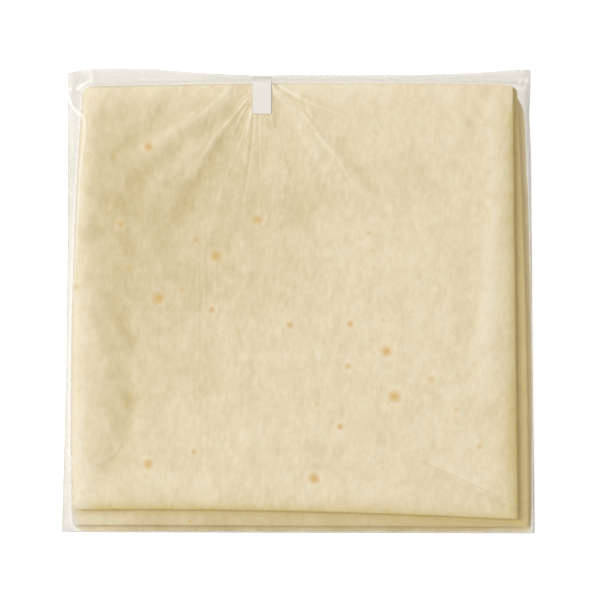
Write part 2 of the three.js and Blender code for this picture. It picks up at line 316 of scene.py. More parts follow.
# Toasted spots of the top sheet: place, radius and depth of colour.
SPOTS = [
    (-95.1, 97.0, 2.9, 1.0), (-25.9, 50.7, 2.9, 0.9), (-52.5, 27.8, 3.2, 1.0), (-88.7, 1.1, 3.5, 1.0),
    (55.4, -32.5, 3.5, 1.0), (60.5, -61.1, 3.8, 1.0), (9.7, -113.2, 3.2, 1.0), (-95.1, -104.3, 3.2, 0.9),
    (-5.6, -16.0, 2.2, 0.9), (32.5, -15.4, 2.2, 0.9), (26.2, -80.1, 2.2, 0.9), (31.3, -42.0, 2.1, 0.75),
    (-112.9, 48.1, 2.3, 0.8), (-55.1, -6.5, 2.1, 0.8), (-141.4, 8.1, 2.0, 0.7), (114.5, -92.8, 2.2, 0.65),
    (84.0, -50.3, 2.3, 0.6), (-66.5, -96.0, 2.0, 0.75), (-65.2, 38.0, 2.0, 0.65), (44.0, 42.4, 1.9, 0.5),
    (99.9, -69.3, 2.1, 0.5), (-107.8, 20.2, 1.8, 0.6), (-73.5, 6.2, 1.8, 0.5), (47.1, 31.0, 1.7, 0.4),
    (53.5, -12.8, 1.7, 0.4), (71.9, -7.1, 1.6, 0.4), (11.6, -66.2, 1.8, 0.4), (-137.0, -122.7, 1.9, 0.4),
]
FRONT_BAND_SPOTS = [(-69.1, -140.5, 1.3, 0.7)]


# Shapes shared by the pieces

def smooth(share):
    """A soft step: 3t² - 2t³ of the share held between 0 and 1."""
    share = np.clip(share, 0, 1)
    return share * share * (3 - 2 * share)


def ramp(value, start, end):
    """A soft step of a value: 0 up to the start and 1 from the end on."""
    return smooth((value - start) / (end - start))


def fade(distance, reach):
    """What is left of 1 at a distance: exp(-d/reach)."""
    return np.exp(-distance / reach)


def bell(distance, width):
    """A bell of height 1: exp(-(d/width)²)."""
    return np.exp(-((distance / width) ** 2))


def waves(x, y, length, seed, count=16):
    """Soft random relief of unit size: sine waves of about one length in seeded directions."""
    draw = np.random.default_rng(seed)
    turns, starts = draw.uniform(0, 2 * math.pi, (2, count))
    total = 0
    for turn, start, stretch in zip(turns, starts, draw.uniform(0.7, 1.4, count)):
        across = x * math.cos(turn) + y * math.sin(turn)
        total = total + np.sin(2 * math.pi * stretch * across / length + start)
    return total * math.sqrt(2 / count)


def line_distance(x, y, points):
    """Distance to a line through points, above 0 to the left of its run, and the share of the run
    at the nearest place. The line's corners are cut at a quarter of each side, twice."""
    points = np.array(points, float)
    for _ in range(2):
        cuts = np.stack([points[:-1] * 0.75 + points[1:] * 0.25, points[:-1] * 0.25 + points[1:] * 0.75], 1)
        points = np.concatenate([points[:1], cuts.reshape(-1, 2), points[-1:]])
    runs = np.diff(points, axis=0)
    lengths = np.hypot(runs[:, 0], runs[:, 1])
    nearest = np.full(np.shape(x), np.inf)
    share = np.zeros(np.shape(x))
    for start, run, length, before in zip(points, runs, lengths, np.cumsum(lengths) - lengths):
        dx, dy = x - start[0], y - start[1]
        along = np.clip((dx * run[0] + dy * run[1]) / length**2, 0, 1)
        away = np.hypot(dx - along * run[0], dy - along * run[1])
        closer = away < np.abs(nearest)
        share = np.where(closer, (before + along * length) / lengths.sum(), share)
        nearest = np.where(closer, np.where(run[0] * dy > run[1] * dx, away, -away), nearest)
    return nearest, share


def edge_pull(x):
    """How far the tape draws the back edge in: full at the tape and 1 - (d/reach)^power beside it,
    with a notch exp(-(d/width)⁴) under the tape."""
    reach, power = (np.where(x < TAPE_X, left, right) for left, right in zip(PULL_LEFT, PULL_RIGHT))
    away = np.abs(x - TAPE_X)
    curve = 1 - np.minimum(away / reach, 1) ** power
    return EDGE_PULL * curve + NOTCH[0] * np.exp(-((away / NOTCH[1]) ** 4))


def edge_drop(x, y):
    """How far the top sheet bends down at its edges: the cube root of the sum of the cubes of
    depth exp(-distance/reach) for its four sides."""
    sides = [np.maximum(side, 0) for side in TOP.sides(x, y)]
    falls = [depth * fade(side, reach) for side, (depth, reach) in zip(sides, EDGE_FALLS)]
    falls[1] = falls[1] * (1 - RIGHT_FALL_LOSS * ramp(y, *RIGHT_FALL_ENDS))
    return sum(fall**3 for fall in falls) ** (1 / 3)


def band_strength(x, y):
    """How sunken and damper the top sheet is, with painted shade, or below 0 how risen and paler, with
    painted highlights: the sum of bells across the bands.
    """
    total = np.zeros(np.shape(x))
    for width, strength, *points in BANDS:
        total = total + strength * bell(line_distance(x, y, points)[0], width)
    return total


def damp_side(x, y):
    """The damp left half of the top sheet: one broad bell."""
    middle_x, middle_y, wide, deep = DAMP_SIDE
    return DAMP_SIDE_STRENGTH * bell(x - middle_x, wide) * bell(y - middle_y, deep)


def top_height(x, y):
    """Height of the film over the top bundle: a crown of products of 1 - (d/reach)², less the
    bands and the bend at the edges."""
    crown = CROWN
    for away, reach in zip((x, y), CROWN_REACH):
        crown = crown * np.clip(1 - (away / reach) ** 2, 0, 1)
    return STACK_HEIGHT + crown - BAND_DEPTH * band_strength(x, y) - edge_drop(x, y)


def grid_lines(*bands):
    """Shares from 0 to 1 along a side, from bands of (length, step) in millimetres."""
    ends = np.cumsum([0] + [length for length, _ in bands])
    lines = [
        np.linspace(start, start + length, max(round(length / step), 1), endpoint=False)
        for start, (length, step) in zip(ends, bands)
    ]
    return np.append(np.concatenate(lines), ends[-1]) / ends[-1]


def rim_of(rows, columns):
    """Places round the edge of a grid, anticlockwise from its front left corner."""
    index = np.arange(rows * columns).reshape(rows, columns)
    return np.concatenate([index[0, :-1], index[:-1, -1], index[-1, :0:-1], index[:0:-1, 0]])


def grid_faces(start, rows, columns):
    """The four-sided faces of a grid whose points begin at a number, seen from above."""
    index = start + np.arange(rows * columns).reshape(rows, columns)
    cells = [index[:-1, :-1], index[:-1, 1:], index[1:, 1:], index[1:, :-1]]
    return np.stack([cell.ravel() for cell in cells], 1)


SHARPEST_BEND = 75


def make_piece(name, points, faces):
    """An object with a mesh of points in millimetres and arrays of faces, smooth up to the
    sharpest bend."""
    mesh = bpy.data.meshes.new(name)
    mesh.from_pydata((points * MM).tolist(), [], [face for part in faces for face in part.tolist()])
    mesh.polygons.foreach_set("use_smooth", np.ones(len(mesh.polygons), bool))
    mesh.set_sharp_from_angle(angle=math.radians(SHARPEST_BEND))
    mesh.update()
    piece = bpy.data.objects.new(name, mesh)
    bpy.context.scene.collection.objects.link(piece)
    return piece


def shell(name, rings, top=None):
    """A closed mesh through rings from the middle of its underside outwards, then up and inwards.
    A grid for the top is joined on by its own rim, or a middle point closes the last ring."""
    count = len(rings[0])
    points = [rings[0].mean(0, keepdims=True), *rings]
    loops = [1 + count * i + np.arange(count) for i in range(len(rings))]
    faces = [np.stack([np.zeros(count, int), np.roll(loops[0], -1), loops[0]], 1)]
    start = 1 + count * len(rings)
    if top is not None:
        rows, columns = top.shape[:2]
        points.append(top.reshape(-1, 3))
        loops.append(start + rim_of(rows, columns))
        faces.append(grid_faces(start, rows, columns))
    else:
        points.append(rings[-1].mean(0, keepdims=True))
        faces.append(np.stack([loops[-1], np.roll(loops[-1], -1), np.full(count, start)], 1))
    for low, high in zip(loops, loops[1:]):
        faces.append(np.stack([low, np.roll(low, -1), np.roll(high, -1), high], 1))
    return make_piece(name, np.concatenate(points), faces)


def paint(piece, name, values):
    """Gives a piece a value at each of its points, for its material to read."""
    attribute = piece.data.attributes.new(name, "FLOAT", "POINT")
    attribute.data.foreach_set("value", np.asarray(values, np.float32))


def places(piece):
    """A piece's points in millimetres, as arrays of x, y and z."""
    found = np.empty(len(piece.data.vertices) * 3)
    piece.data.vertices.foreach_get("co", found)
    return found.reshape(-1, 3).T / MM


# The bundles

# Lengths and steps of the grids' lines along a bundle's sides, finest where the creases are.
BUNDLE_LINES_X = grid_lines((9, 0.9), (67, 1.6), (102, 0.65), (95, 1.7), (9, 0.9))
BUNDLE_LINES_Y = grid_lines((9, 0.9), (180, 1.8), (75, 0.8), (9, 0.9))

# The open edge of a leaf: shares of its thickness, and of the groove's depth that it stands back, which
# also sets how much painted groove shade it gets.
LEAF_PROFILE = ((0.0, 1.0), (0.22, 0.16), (0.5, 0.0), (0.78, 0.16))
GROOVE_DEPTH = 0.9

# The least thickness of a leaf, as a share of the mean, and how far back its open edge may stand.
THINNEST_LEAF = 0.4
END_SPREAD = 1.3

# How many leaves share a fold at the left and at the back, how round that is, and how much of a
# groove's painted shade shows between two folds.
LEFT_FOLD = 2
BACK_FOLD = 4
FOLD_ROUNDING = 0.75
FOLD_GROOVE_SHADE = 0.15

# Rings on the flat parts of a bundle: distances inside its rim on the underside and the top side.
UNDER_RINGS = (60, 12, 5, 1.5)
OVER_RINGS = (0, 0.8, 1.8, 3, 4.5, 6, 8, 10, 12.5, 15, 19, 40)
OPEN_INSET = 0.2


def bundle_rim(outline):
    """The rim of a bundle's plan, with the direction out of it and how far it faces each side:
    the squares of that direction's parts, which add up to 1."""
    u, v = np.meshgrid(BUNDLE_LINES_X, BUNDLE_LINES_Y)
    order = rim_of(*u.shape)
    rim = np.stack(outline.place(u.ravel()[order], v.ravel()[order]), 1)
    run = np.roll(rim, -1, 0) - np.roll(rim, 1, 0)
    out = np.stack([run[:, 1], -run[:, 0]], 1) / np.hypot(run[:, 0], run[:, 1])[:, None]
    faces = {
        "open": np.maximum(out[:, 0], 0) ** 2 + np.maximum(-out[:, 1], 0) ** 2,
        "back": np.maximum(out[:, 1], 0) ** 2,
        "left": np.maximum(-out[:, 0], 0) ** 2,
    }
    return rim, out, faces


def leaf_levels(rim, seed):
    """Shares of the bundle's height where each leaf begins: sums of uneven thicknesses."""
    x, y = rim.T
    thick = []
    for leaf in range(LEAVES):
        long_waves, short_waves = waves(x, y, 55, seed + leaf), waves(x, y, 14, seed + 40 + leaf)
        thick.append(1 + 0.16 * long_waves + 0.1 * short_waves)
    levels = np.cumsum([np.zeros(len(rim)), *np.maximum(thick, THINNEST_LEAF)], axis=0)
    return levels / levels[-1]


def fold_inset(leaves):
    """How far a fold of that many leaves has rounded in at its top: a share of half its height."""
    return FOLD_ROUNDING * leaves * BUNDLE_HEIGHT / LEAVES / 2


def leaf_rings(outline, underside, topside, seed):
    """Rings up the side of a bundle. At the open sides each leaf ends on its own wavy line, with a
    groove under it. At the left two leaves share a round fold, and at the back four do."""
    rim, out, faces = bundle_rim(outline)
    x, y = rim.T
    low, high = underside(x, y), topside(x, y)
    draw = np.random.default_rng(seed)
    levels = leaf_levels(rim, seed)
    ends = []
    for leaf in range(LEAVES):
        long_waves, short_waves = waves(x, y, 48, seed + 80 + leaf), waves(x, y, 5, seed + 120 + leaf)
        ends.append(draw.uniform(0.0, END_SPREAD) + 0.3 * long_waves + 0.08 * short_waves)
    ends[-1] = 0.15 * waves(x, y, 30, seed + 160)
    rings, depths = [], []
    for leaf in range(LEAVES):
        for share, back_set in LEAF_PROFILE:
            level = levels[leaf] * (1 - share) + levels[leaf + 1] * share
            edge = np.maximum(ends[leaf], ends[max(leaf - 1, 0)]) if share == 0 else ends[leaf]
            stand_back = faces["open"] * (np.maximum(edge, 0) + GROOVE_DEPTH * back_set)
            for side, per_fold in (("left", LEFT_FOLD), ("back", BACK_FOLD)):
                place = 2 * ((leaf + share) % per_fold) / per_fold - 1
                stand_back = stand_back + faces[side] * fold_inset(per_fold) * (1 - math.sqrt(1 - place**2))
            spot = rim - out * stand_back[:, None]
            rings.append(np.column_stack([spot, low + (high - low) * level]))
            depths.append(back_set * (FOLD_GROOVE_SHADE + (1 - FOLD_GROOVE_SHADE) * faces["open"]))
    return rings, depths


def bundle(name, outline, underside, topside, seed, fine_top=False):
    """One bundle of folded sheets: a flat underside, leaves up its sides, and its top sheet."""
    top_outline = outline.inset(OPEN_INSET, OPEN_INSET, fold_inset(BACK_FOLD), fold_inset(LEFT_FOLD))
    u, v = np.meshgrid(BUNDLE_LINES_X, BUNDLE_LINES_Y)
    order = rim_of(*u.shape)
    rim_u, rim_v = u.ravel()[order], v.ravel()[order]

    def flat_ring(distance, height):
        """A ring that far inside the rim, on the underside or the top side."""
        spot = top_outline.inset(*[distance] * 4).place(rim_u, rim_v)
        return np.column_stack([*spot, height(*spot)])

    sides, depths = leaf_rings(outline, underside, topside, seed)
    below = [flat_ring(distance, underside) for distance in UNDER_RINGS]
    if fine_top:
        x, y = top_outline.place(u, v)
        piece = shell(name, below + sides, np.stack([x, y, topside(x, y)], -1))
    else:
        above = [flat_ring(distance, topside) for distance in OVER_RINGS]
        piece = shell(name, below + sides + above)
    under_count = 1 + len(order) * len(below)
    over_count = len(piece.data.vertices) - under_count - len(order) * len(sides)
    # Painted shade in the grooves between the leaves.
    paint(piece, "groove", np.concatenate([np.zeros(under_count), *depths, np.zeros(over_count)]))
    walls = np.repeat(np.arange(len(sides)) < len(sides) - len(LEAF_PROFILE), len(order))
    paint(piece, "wall", np.concatenate([np.ones(under_count), walls, np.zeros(over_count)]))
    return piece


# Uneven dough: heights and lengths of waves, and how they are squeezed along y.
RELIEF_WAVES = ((0.09, 26, 0.8), (0.05, 11, 0.7), (0.03, 5, 0.7))

UNDERSIDE = 0.3
UNDER_FILM_GAP = 0.25


def dough_relief(x, y, seed):
    """Uneven dough: waves of three lengths, the shorter the lower."""
    layers = enumerate(RELIEF_WAVES)
    return sum(height * waves(x, y * squeeze, length, seed + i) for i, (height, length, squeeze) in layers)


def top_dough(x, y):
    """The top sheet of the top bundle, just under the film, with the film's creases pressed in."""
    ridge_and_highlight, hollow_and_shade = crease_marks(x, y)
    pressed = 0.6 * CREASE_HEIGHT * (ridge_and_highlight - 0.7 * hollow_and_shade)
    return top_height(x, y) - FILM_GAP + dough_relief(x, y, 11) + pressed


def terrace(height, outline, seed, bend):
    """The top side of a lower bundle, half a millimetre below the next one. It has half the relief
    of the top sheet, and bends down a little at its rim by exp(-d/1.6)."""

    def topside(x, y):
        away = np.maximum(outline.inside(x, y), 0)
        return height - 0.5 - bend * fade(away, 1.6) + 0.5 * dough_relief(x, y, seed)

    return topside


def low_underside(x, y):
    """The underside of the low bundle: flat, with a rim rounded by exp(-d/1.5), and lifted by a
    soft step over the last 10 mm to its folded back edge."""
    back = LOW.sides(x, y)[2]
    away = np.maximum(LOW.inside(x, y), 0)
    return UNDERSIDE + 0.5 * fade(away, 1.5) + 2.2 * ramp(back, 10, 0)


def flat(height):
    """A level side at one height."""
    return lambda x, y: np.full(np.shape(x), float(height))


def sides_within(outline, x, y):
    """Distances inside the front, right, back and left sides, and 0 outside them."""
    return [np.maximum(side, 0) for side in outline.sides(x, y)]


def paint_lower_dough(piece, outline, spread, upper, gap_shadow, glow, front_rim):
    """Paints a bundle under another one. In the gap beside that one it has painted shadow by exp(-d/3) and
    a painted glow of bounce light by exp(-d/1.4), at the right twice as wide and without the painted
    shadow. Its left end is painted lighter by exp(-d/9), and it is painted lighter towards the left, both
    painted light; its right rim has painted shade by exp(-d/2.2), and its rim is yellower by exp(-d/spread),
    partly its own tone and partly painted shade and light, which fades to the left at the front."""
    x, y, _ = places(piece)
    front, right, back, left = sides_within(outline, x, y)
    away = np.maximum(-upper.inside(x, y), 0)
    at_right = ramp(x, 136, 140)
    open_side = ramp(np.minimum(left, back), 0, 8)
    damp_and_shading = 0.15 * waves(x, y, 30, 41) + 0.08 * waves(x, y, 75, 43, 8)
    # Painted shadow of the bundle above, in the gap beside it.
    damp_and_shading = damp_and_shading + gap_shadow * (1 - at_right) * fade(away, 3) * open_side
    # Painted light at the left end and towards the left, and painted shade on the right rim.
    damp_and_shading = damp_and_shading - 3.2 * fade(left, 9) - 0.45 * ramp(x, -40, -100) + 0.5 * at_right * fade(right, 2.2)
    at_front = front_rim * np.clip((x + 140) / 250, 0, 1)
    paint(piece, "rim", np.maximum(fade(front, spread) * at_front, fade(right, spread)))
    paint(piece, "damp_and_shading", damp_and_shading)
    # A painted glow of bounce light in the gap.
    paint(piece, "bounce_glow", glow * fade(away, 1.4 * (1 + at_right)) * open_side)


def paint_top_dough(piece, outline, spread):
    """Paints the top bundle: damper, with painted shade, in its bands and paler, with painted highlights,
    where they rise, and damper at its left; painted highlights under the film's creases and painted shade in
    their hollows; painted highlights by exp(-d/4.2) and exp(-d/5) along its left and back folds, which fades
    to the right at the back. Its rim is yellower by exp(-d/spread), partly its own tone and partly painted
    shade, widens to the front right and ends at the corners."""
    x, y, _ = places(piece)
    front, right, back, left = sides_within(outline, x, y)
    ridge_and_highlight, hollow_and_shade = crease_marks(x, y)
    damp_and_shading = 0.08 * waves(x, y, 75, 43, 8) + BAND_DAMP_AND_SHADING * band_strength(x, y) + damp_side(x, y)
    # Painted highlights under the creases and along the left fold, and painted shade in the creases' hollows.
    damp_and_shading = damp_and_shading - 1.6 * ridge_and_highlight + 1.1 * hollow_and_shade - 1.2 * fade(left, 4.2)
    # Painted highlight along the back fold.
    damp_and_shading = damp_and_shading - 0.8 * fade(back, 5) * (1 - 0.8 * ramp(x, 10, 60))
    right = right * (1 - 0.4 * ramp(y, -20, -70)) + 8 * ramp(y, 116, 131)
    at_front = (1 - 0.3 * ramp(x, -60, 150)) * ramp(left, 3, 17)
    paint(piece, "rim", np.maximum(fade(front, spread) * at_front, fade(right, spread)))
    paint(piece, "damp_and_shading", damp_and_shading)
    # No painted glow of bounce light on the top bundle.
    paint(piece, "bounce_glow", np.zeros(len(x)))


# The film

# Lengths and steps of the film's grid, finest at its edges and where the creases are.
FILM_LINES_X = grid_lines((14, 0.6), (70, 1.7), (102, 0.55), (90, 1.8), (24.4, 0.7))
FILM_LINES_Y = grid_lines((20, 0.8), (185, 2.0), (74, 0.75), (15, 0.6))

# Where the film steps up over a bundle: from this far outside its rim to this far inside it.
FOOT, SHOULDER = 3.8, 0.5

# The fold at the back left corner, wide and deep, and the dent in the right side: its depth, its
# place along y and its half width.
CORNER_FOLD = (15.9, 3.4)
RIGHT_DENT = (1.0, 117, 16)

# Rings of the film under the pack: distances inside the low bundle's plan, the last one outside.
FILM_RINGS = (70, 14, 10, 6, 3, 1, 0, -0.3)
LAST_RING_LIFT = 0.6

# How hazy the film is on the dough, where it hangs free, and under the pack.
HAZE_ON_DOUGH = 0.02
HAZE_FREE = 0.36
HAZE_UNDER = 0.25


def film_place(u, v):
    """Places on the film: its back edge is drawn in by the tape and cut low at its left corner by
    a share of (1 - d/width) to the power 1.5, and a bell dents its right side."""
    x, y = FILM.place(u, v)
    fold = np.clip(1 - (x - FILM.corners[3][0]) / CORNER_FOLD[0], 0, 1)
    depth, middle, wide = RIGHT_DENT
    return x - u**3 * depth * bell(y - middle, wide), y - v * (edge_pull(x) + CORNER_FOLD[1] * fold**1.5)


def film_seam(u, v):
    """Distance inside the film's own edge."""
    x, y = film_place(u, v)
    wide = x[:, -1:] - x[:, :1]
    deep = y[-1:] - y[:1]
    return np.minimum.reduce([u * wide, (1 - u) * wide, v * deep, (1 - v) * deep])


def crease_marks(x, y):
    """Creases: bells across each line, fading along it, and a darker hollow beside it. Returns how high each
    crease stands and how much painted highlight whitens it there, and how deep its hollow is and how
    much painted shade darkens it."""
    ridge_and_highlight, hollow_and_shade = np.zeros(np.shape(x)), np.zeros(np.shape(x))
    for width, strength, hollow, fading, *points in CREASES:
        away, share = line_distance(x, y, points)
        faded = 1 - fading * share
        beside = away - math.copysign(HOLLOW_ASIDE * width, hollow) if strength else away
        ridge_and_highlight = np.maximum(ridge_and_highlight, strength * faded * bell(away, width))
        hollow_and_shade = np.maximum(hollow_and_shade, abs(hollow) * faded * bell(beside, width))
    return ridge_and_highlight, hollow_and_shade


def film_height(x, y, seam):
    """Height of the film: the seam, a soft step up over each bundle's edge, and the creases.
    seam is the distance inside the film's own edge."""
    margin = 0.2 * waves(x, y, 22, 301) + 0.04 * waves(x, y, 9, 302) + 0.5 * ramp(seam, 0, 5)
    rise, on_top = np.zeros(np.shape(x)), 0
    steps = ((LOW, BUNDLE_HEIGHT - SEAM_HEIGHT), (MIDDLE, BUNDLE_HEIGHT), (TOP, BUNDLE_HEIGHT))
    for outline, height in steps:
        on_top = ramp(outline.inside(x, y), -FOOT, SHOULDER)
        rise = rise + height * on_top
    rise = rise + on_top * (top_height(x, y) - STACK_HEIGHT)
    free = ramp(LOW.inside(x, y), 1, -2)
    ridge_and_highlight, hollow_and_shade = crease_marks(x, y)
    lift = CREASE_HEIGHT * (ridge_and_highlight - HOLLOW_DEPTH * hollow_and_shade)
    return SEAM_HEIGHT + ramp(seam, 0, 1.6) * (rise + free * margin) + lift * ramp(seam, 0, 2)


def film_under(x, y):
    """Height of the film under the pack: close below the low bundle."""
    return low_underside(x, y) - UNDER_FILM_GAP


def film_looks(x, y):
    """How hazy the film is, and how much painted highlight whitens it. It is hazier where it hangs free,
    most at the right margin, where that extra haze is painted shade, and at the left margin, down the left
    wall by exp(-d/3), in bells over the top bundle's back and left edges, at the front left corner, and
    along creases, above all the loose ones, with painted shade in their hollows. Its painted highlights lie
    along the creases, at the front left corner and on the fold bells near the left. It is a little clearer
    along two stretches at the back left."""
    front, _, back, left = TOP.sides(x, y)
    in_left = np.maximum(left, 0)
    on_stack = LOW.inside(x, y)
    free = ramp(on_stack, 0.3, -1.2)
    loose = ramp(TOP.inside(x, y), 5, -1)
    left_margin = ramp(x, -137, -143) * free
    # The haze added at the right margin is painted shade, greyer where the film faces away from the light.
    haze = HAZE_ON_DOUGH + HAZE_FREE * free + 0.1 * ramp(x, 141, 147) * free + 0.08 * left_margin
    at_fold = (0.28 * bell(back + 0.6, 1.0) + 0.22 * bell(left + 0.4, 0.9)) * ramp(on_stack, -3, -1)
    at_corner = fade(np.maximum(LOW.sides(x, y)[3], 0), 8) * ramp(front, -0.5, -2.5) * (1 - free)
    haze = haze + 0.12 * fade(in_left, 3) * (1 - free) + at_fold + 0.12 * at_corner
    haze = haze - 0.05 * free * ramp(x, -50, -70) * ramp(y, 132, 136)
    haze = haze - 0.08 * left_margin * ramp(y, 85, 105) * ramp(y, 130, 118)
    ridge_and_highlight, hollow_and_shade = crease_marks(x, y)
    # Painted highlight along the creases, more where the film is loose, and painted shade in their hollows.
    haze = haze + (0.08 + 0.22 * loose) * ridge_and_highlight + 0.25 * loose * hollow_and_shade
    # The painted highlights: the creases, the front left corner and the fold bells, most near the left.
    glint = np.maximum(ridge_and_highlight, 0.2 * at_corner + 0.5 * at_fold * fade(in_left, 4))
    return haze, glint


def film_bag():
    """The bag: a top sheet on a grid, joined round its seam to an underside of rings."""
    u, v = np.meshgrid(FILM_LINES_X, FILM_LINES_Y)
    x, y = film_place(u, v)
    z = film_height(x, y, film_seam(u, v))
    order = rim_of(*u.shape)
    rings = []
    for distance in FILM_RINGS:
        spot = LOW.inset(*[distance] * 4).place(u.ravel()[order], v.ravel()[order])
        rings.append(np.column_stack([*spot, film_under(*spot) + (LAST_RING_LIFT if distance < 0 else 0)]))
    piece = shell("film", rings, np.stack([x, y, z], -1))
    below = len(piece.data.vertices) - u.size
    haze, glint = film_looks(x, y)
    paint(piece, "haze", np.append(np.full(below, HAZE_UNDER), haze.ravel()))
    # The film's painted highlights.
    paint(piece, "glint", np.append(np.zeros(below), glint.ravel()))
    return piece


# The tape

def tape_strip():
    """The strip of tape: carried along the film's own section from the top sheet over the back
    edge and under it, as a thin closed band."""
    across = np.linspace(-TAPE_WIDTH / 2, TAPE_WIDTH / 2, 13)
    over_y = np.linspace(TAPE_FRONT, TAPE_BEND, 24, endpoint=False)
    bend_y = np.linspace(TAPE_BEND, TAPE_EDGE, 30)
    under_y = np.linspace(TAPE_EDGE, TAPE_UNDER_END, 16)
    x, over = np.meshgrid(TAPE_X + across, np.concatenate([over_y, bend_y]))
    over_z = film_height(x, over, np.maximum(TAPE_EDGE - over, 0))
    x_under, under = np.meshgrid(TAPE_X + across, under_y)
    share = ramp(under, TAPE_EDGE, TAPE_EDGE - 5)
    under_z = SEAM_HEIGHT * (1 - share) + film_under(x_under, under) * share
    path = np.stack([
        np.concatenate([x, x_under[1:]]),
        np.concatenate([over, under[1:]]),
        np.concatenate([over_z, under_z[1:]]),
    ], -1)
    run = np.gradient(path, axis=0)
    out = np.stack([np.zeros(path.shape[:2]), -run[..., 2], run[..., 1]], -1)
    out /= np.linalg.norm(out, axis=-1, keepdims=True)
    inner = path + out * TAPE_LIFT
    outer = inner + out * TAPE_THICKNESS
    rows, columns = path.shape[:2]
    order = rim_of(rows, columns)
    after = np.roll(order, -1)
    wall = np.stack([order, after, after + rows * columns, order + rows * columns], 1)
    points = np.concatenate([inner.reshape(-1, 3), outer.reshape(-1, 3)])
    faces = [grid_faces(0, rows, columns)[:, ::-1], grid_faces(rows * columns, rows, columns), wall]
    piece = make_piece("tape_strip", points, faces)
    paint(piece, "free", ramp(places(piece)[1], *TAPE_FREE))
    return piece


# Materials

class Wire:
    """A shader socket. Sums and products with wires or numbers add their Math nodes."""

    def __init__(self, shader, socket):
        self.shader = shader
        self.socket = socket

    def __add__(self, other):
        return self.shader.math("ADD", self, other)

    def __sub__(self, other):
        return self.shader.math("SUBTRACT", self, other)

    def __rsub__(self, other):
        return self.shader.math("SUBTRACT", other, self)

    def __mul__(self, other):
        return self.shader.math("MULTIPLY", self, other)

    __radd__ = __add__
    __rmul__ = __mul__


class Shader:
    """A material with one Principled node, and short ways to add the nodes that feed it."""

    def __init__(self, name, **plain):
        self.material = bpy.data.materials.new(name)
        self.material.use_nodes = True
        self.tree = self.material.node_tree
        self.surface = self.tree.nodes["Principled BSDF"]
        self.feed(plain)
        self.place = self.node("ShaderNodeTexCoord", {}, {}, "Object")

    def feed(self, sockets):
        """Sets the Principled node's sockets by name, with underscores for spaces."""
        for name, value in sockets.items():
            self.set(self.surface.inputs[name.replace("_", " ")], value)

    def set(self, socket, value):
        if isinstance(value, Wire):
            self.tree.links.new(value.socket, socket)
        else:
            socket.default_value = value

    def node(self, kind, settings, sockets, output=0):
        """Adds a node: its settings first, then its sockets."""
        node = self.tree.nodes.new(kind)
        for name, value in settings.items():
            setattr(node, name, value)
        for name, value in sockets.items():
            self.set(node.inputs[name], value)
        return Wire(self, node.outputs[output])

    def math(self, operation, *values):
        return self.node("ShaderNodeMath", {"operation": operation}, dict(enumerate(values)))

    def mix(self, share, first, second):
        """A colour between two: first at share 0 and second at 1."""
        return self.node("ShaderNodeMix", {"data_type": "RGBA"}, {0: share, 6: first, 7: second}, 2)

    def step(self, value, low, high):
        """0 below low and 1 above high, with a soft slope between."""
        sockets = {"Value": value, "From Min": low, "From Max": high}
        return self.node("ShaderNodeMapRange", {"interpolation_type": "SMOOTHSTEP"}, sockets)

    def noise(self, length, detail=2.0, stretch=(1, 1, 1), roughness=0.5, distortion=0.0):
        """Cloudy noise whose features are about one length across, in millimetres."""
        spread = self.node("ShaderNodeMapping", {}, {"Vector": self.place, "Scale": stretch})
        sockets = {
            "Vector": spread, "Scale": 1 / (length * MM), "Detail": detail, "Roughness": roughness,
            "Distortion": distortion,
        }
        return self.node("ShaderNodeTexNoise", {}, sockets)

    def along(self, start, direction):
        """Distance from a start in a level direction: the dot product of the place with it, less
        that of the start."""
        sockets = {0: self.place, 1: (*direction, 0)}
        found = self.node("ShaderNodeVectorMath", {"operation": "DOT_PRODUCT"}, sockets, "Value")
        return found - (start[0] * direction[0] + start[1] * direction[1]) * MM

    def line(self, start, end, width):
        """1 on a straight line between two places in millimetres, 0 beyond the width, and fainter
        over the first three tenths of its run."""
        length = math.dist(start, end)
        run = ((end[0] - start[0]) / length, (end[1] - start[1]) / length)
        aside = self.math("ABSOLUTE", self.along(start, (-run[1], run[0])))
        share = self.along(start, run) * (1 / (length * MM))
        ends = self.step(share, 0, 0.3) * self.step(share, 1.01, 0.98)
        return self.step(aside, width * MM, 0) * ends

    def painted(self, name):
        """A value painted on the piece's points."""
        return self.node("ShaderNodeAttribute", {"attribute_name": name}, {}, "Fac")

    def bump(self, height, strength, distance):
        sockets = {"Height": height, "Strength": strength, "Distance": distance * MM}
        return self.node("ShaderNodeBump", {}, sockets)


# Dough colours. The floury colour and the damper colour give the dough's own paler and damper tone, and also
# painted highlights and painted shade. The rim colours are partly the open edges' own yellower tone and
# partly painted shade and bounce light; the low bundle's is lighter, painted light where it lies in shadow.
# The groove colour is painted shade, and the colour for the gap under the next bundle is a painted glow of
# bounce light.
FLOURY_AND_HIGHLIT_DOUGH = (0.87, 0.85, 0.75, 1)
PALE_DOUGH = (0.83, 0.725, 0.51, 1)
DAMP_AND_SHADED_DOUGH = (0.526, 0.413, 0.158, 1)
TOP_RIM_DOUGH = (0.63, 0.485, 0.125, 1)
MIDDLE_RIM_DOUGH = (0.59, 0.465, 0.20, 1)
LOW_RIM_DOUGH = (0.92, 0.80, 0.52, 1)
GROOVE_SHADE_DOUGH = (0.64, 0.49, 0.23, 1)
BOUNCE_LIT_DOUGH = (0.87, 0.64, 0.21, 1)
TOAST = (0.68, 0.42, 0.12, 1)


